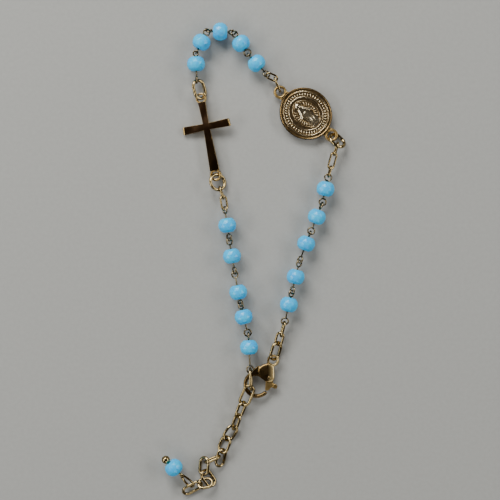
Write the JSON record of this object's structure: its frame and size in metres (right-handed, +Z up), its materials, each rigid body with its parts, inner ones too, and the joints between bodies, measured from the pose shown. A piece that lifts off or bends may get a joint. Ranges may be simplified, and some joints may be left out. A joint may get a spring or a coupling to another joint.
{
  "type": "rosary bracelet",
  "caption": "Rosary bracelet laid flat: a loop of faceted glass beads on eye pins with a cross, an oval medal, a lobster clasp and an extension chain ending in a drop bead.",
  "frame": {"origin": "bottom centre of the box round the bracelet as it lies, on the table", "axes": "+X to the medal's side, +Y along the bracelet from the clasp to the top of the loop, +Z up from the table"},
  "size_m": [0.0409, 0.1053, 0.0042],
  "materials": {
    "turquoise_glass": "opaque faceted glass, glossy",
    "gold_wire": "polished gold-plated wire",
    "antique_gold": "polished gold plate, darkened in the recesses",
    "clasp_gold": "polished gold plate"
  },
  "bodies": {
    "bracelet": {"cross": "antique_gold", "medal": "antique_gold", "clasp_body": "clasp_gold", "cross_top_ring": "gold_wire", "cross_bottom_ring": "gold_wire", "medal_ring": "gold_wire", "clasp_ring": "gold_wire", "closing_ring": "gold_wire", "top_links": "gold_wire", "left_links": "gold_wire", "right_links": "gold_wire", "clasp_links": "gold_wire", "extension_chain": "gold_wire", "drop_pin": "gold_wire", "pin_top_1": "gold_wire", "pin_top_2": "gold_wire", "pin_top_3": "gold_wire", "pin_top_4": "gold_wire", "pin_top_5": "gold_wire", "pin_left_1": "gold_wire", "pin_left_2": "gold_wire", "pin_left_3": "gold_wire", "pin_left_4": "gold_wire", "pin_left_5": "gold_wire", "pin_right_1": "gold_wire", "pin_right_2": "gold_wire", "pin_right_3": "gold_wire", "pin_right_4": "gold_wire", "pin_right_5": "gold_wire", "bead_top_1": "turquoise_glass", "bead_top_2": "turquoise_glass", "bead_top_3": "turquoise_glass", "bead_top_4": "turquoise_glass", "bead_top_5": "turquoise_glass", "bead_left_1": "turquoise_glass", "bead_left_2": "turquoise_glass", "bead_left_3": "turquoise_glass", "bead_left_4": "turquoise_glass", "bead_left_5": "turquoise_glass", "bead_right_1": "turquoise_glass", "bead_right_2": "turquoise_glass", "bead_right_3": "turquoise_glass", "bead_right_4": "turquoise_glass", "bead_right_5": "turquoise_glass", "bead_drop": "turquoise_glass"},
    "lever": {"clasp_lever": "clasp_gold"}
  },
  "joints": [
    {"name": "lever_hinge", "type": "hinge", "parent": "bracelet", "child": "lever", "pos_m": [0.00357, -0.02641, 0.00135], "axis": [0, 0, 1], "range_deg": [-35, 0], "stiffness_Nm_per_rad": 0.004, "springref_deg": 8.59}
  ]
}
